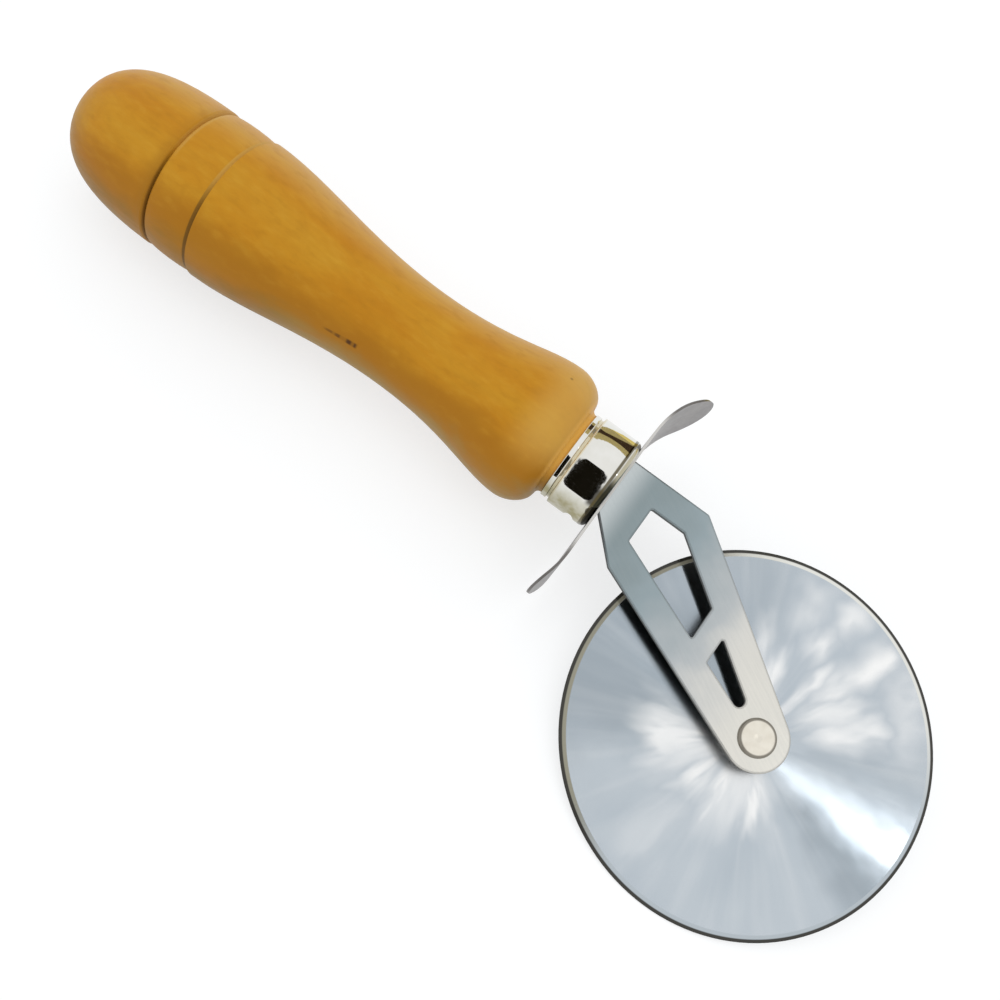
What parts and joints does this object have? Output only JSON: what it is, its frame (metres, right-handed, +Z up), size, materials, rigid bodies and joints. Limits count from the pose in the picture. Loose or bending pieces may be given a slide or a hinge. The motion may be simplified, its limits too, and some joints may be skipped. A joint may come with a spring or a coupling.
{
  "type": "pizza cutter",
  "caption": "Pizza cutter with a round blade turning on a rivet in a stamped cranked arm, a bent finger guard, a plated ferrule and a turned wooden handle.",
  "frame": {"origin": "on the handle's axis at its waist, where a hand closes on the grip", "axes": "+X along the handle towards the wheel, +Z up from the table that the tool lies on, rolled so that the handle and the wheel's ground edge both touch that table"},
  "size_m": [0.2354, 0.0913, 0.034],
  "materials": {
    "wood": "honey lacquer, satin",
    "nickel": "bright nickel plate",
    "guard_steel": "satin sheet steel",
    "arm_steel": "satin sheet steel",
    "blade_steel": "circular polish",
    "rivet_metal": "bright, lightly rubbed",
    "washer_steel": "plain"
  },
  "bodies": {
    "tool": {"handle": "wood", "ferrule": "nickel", "finger_guard": "guard_steel", "wheel_arm": "arm_steel", "axle_rivet": "rivet_metal", "front_washer": "washer_steel", "back_washer": "washer_steel"},
    "wheel": {"wheel_blade": "blade_steel", "hub_bush": "washer_steel"}
  },
  "joints": [
    {"name": "wheel_spin", "type": "hinge", "parent": "tool", "child": "wheel", "pos_m": [0.1072, -0.02497, -0.00463], "axis": [0, -0.1822, 0.9833], "continuous": true}
  ]
}
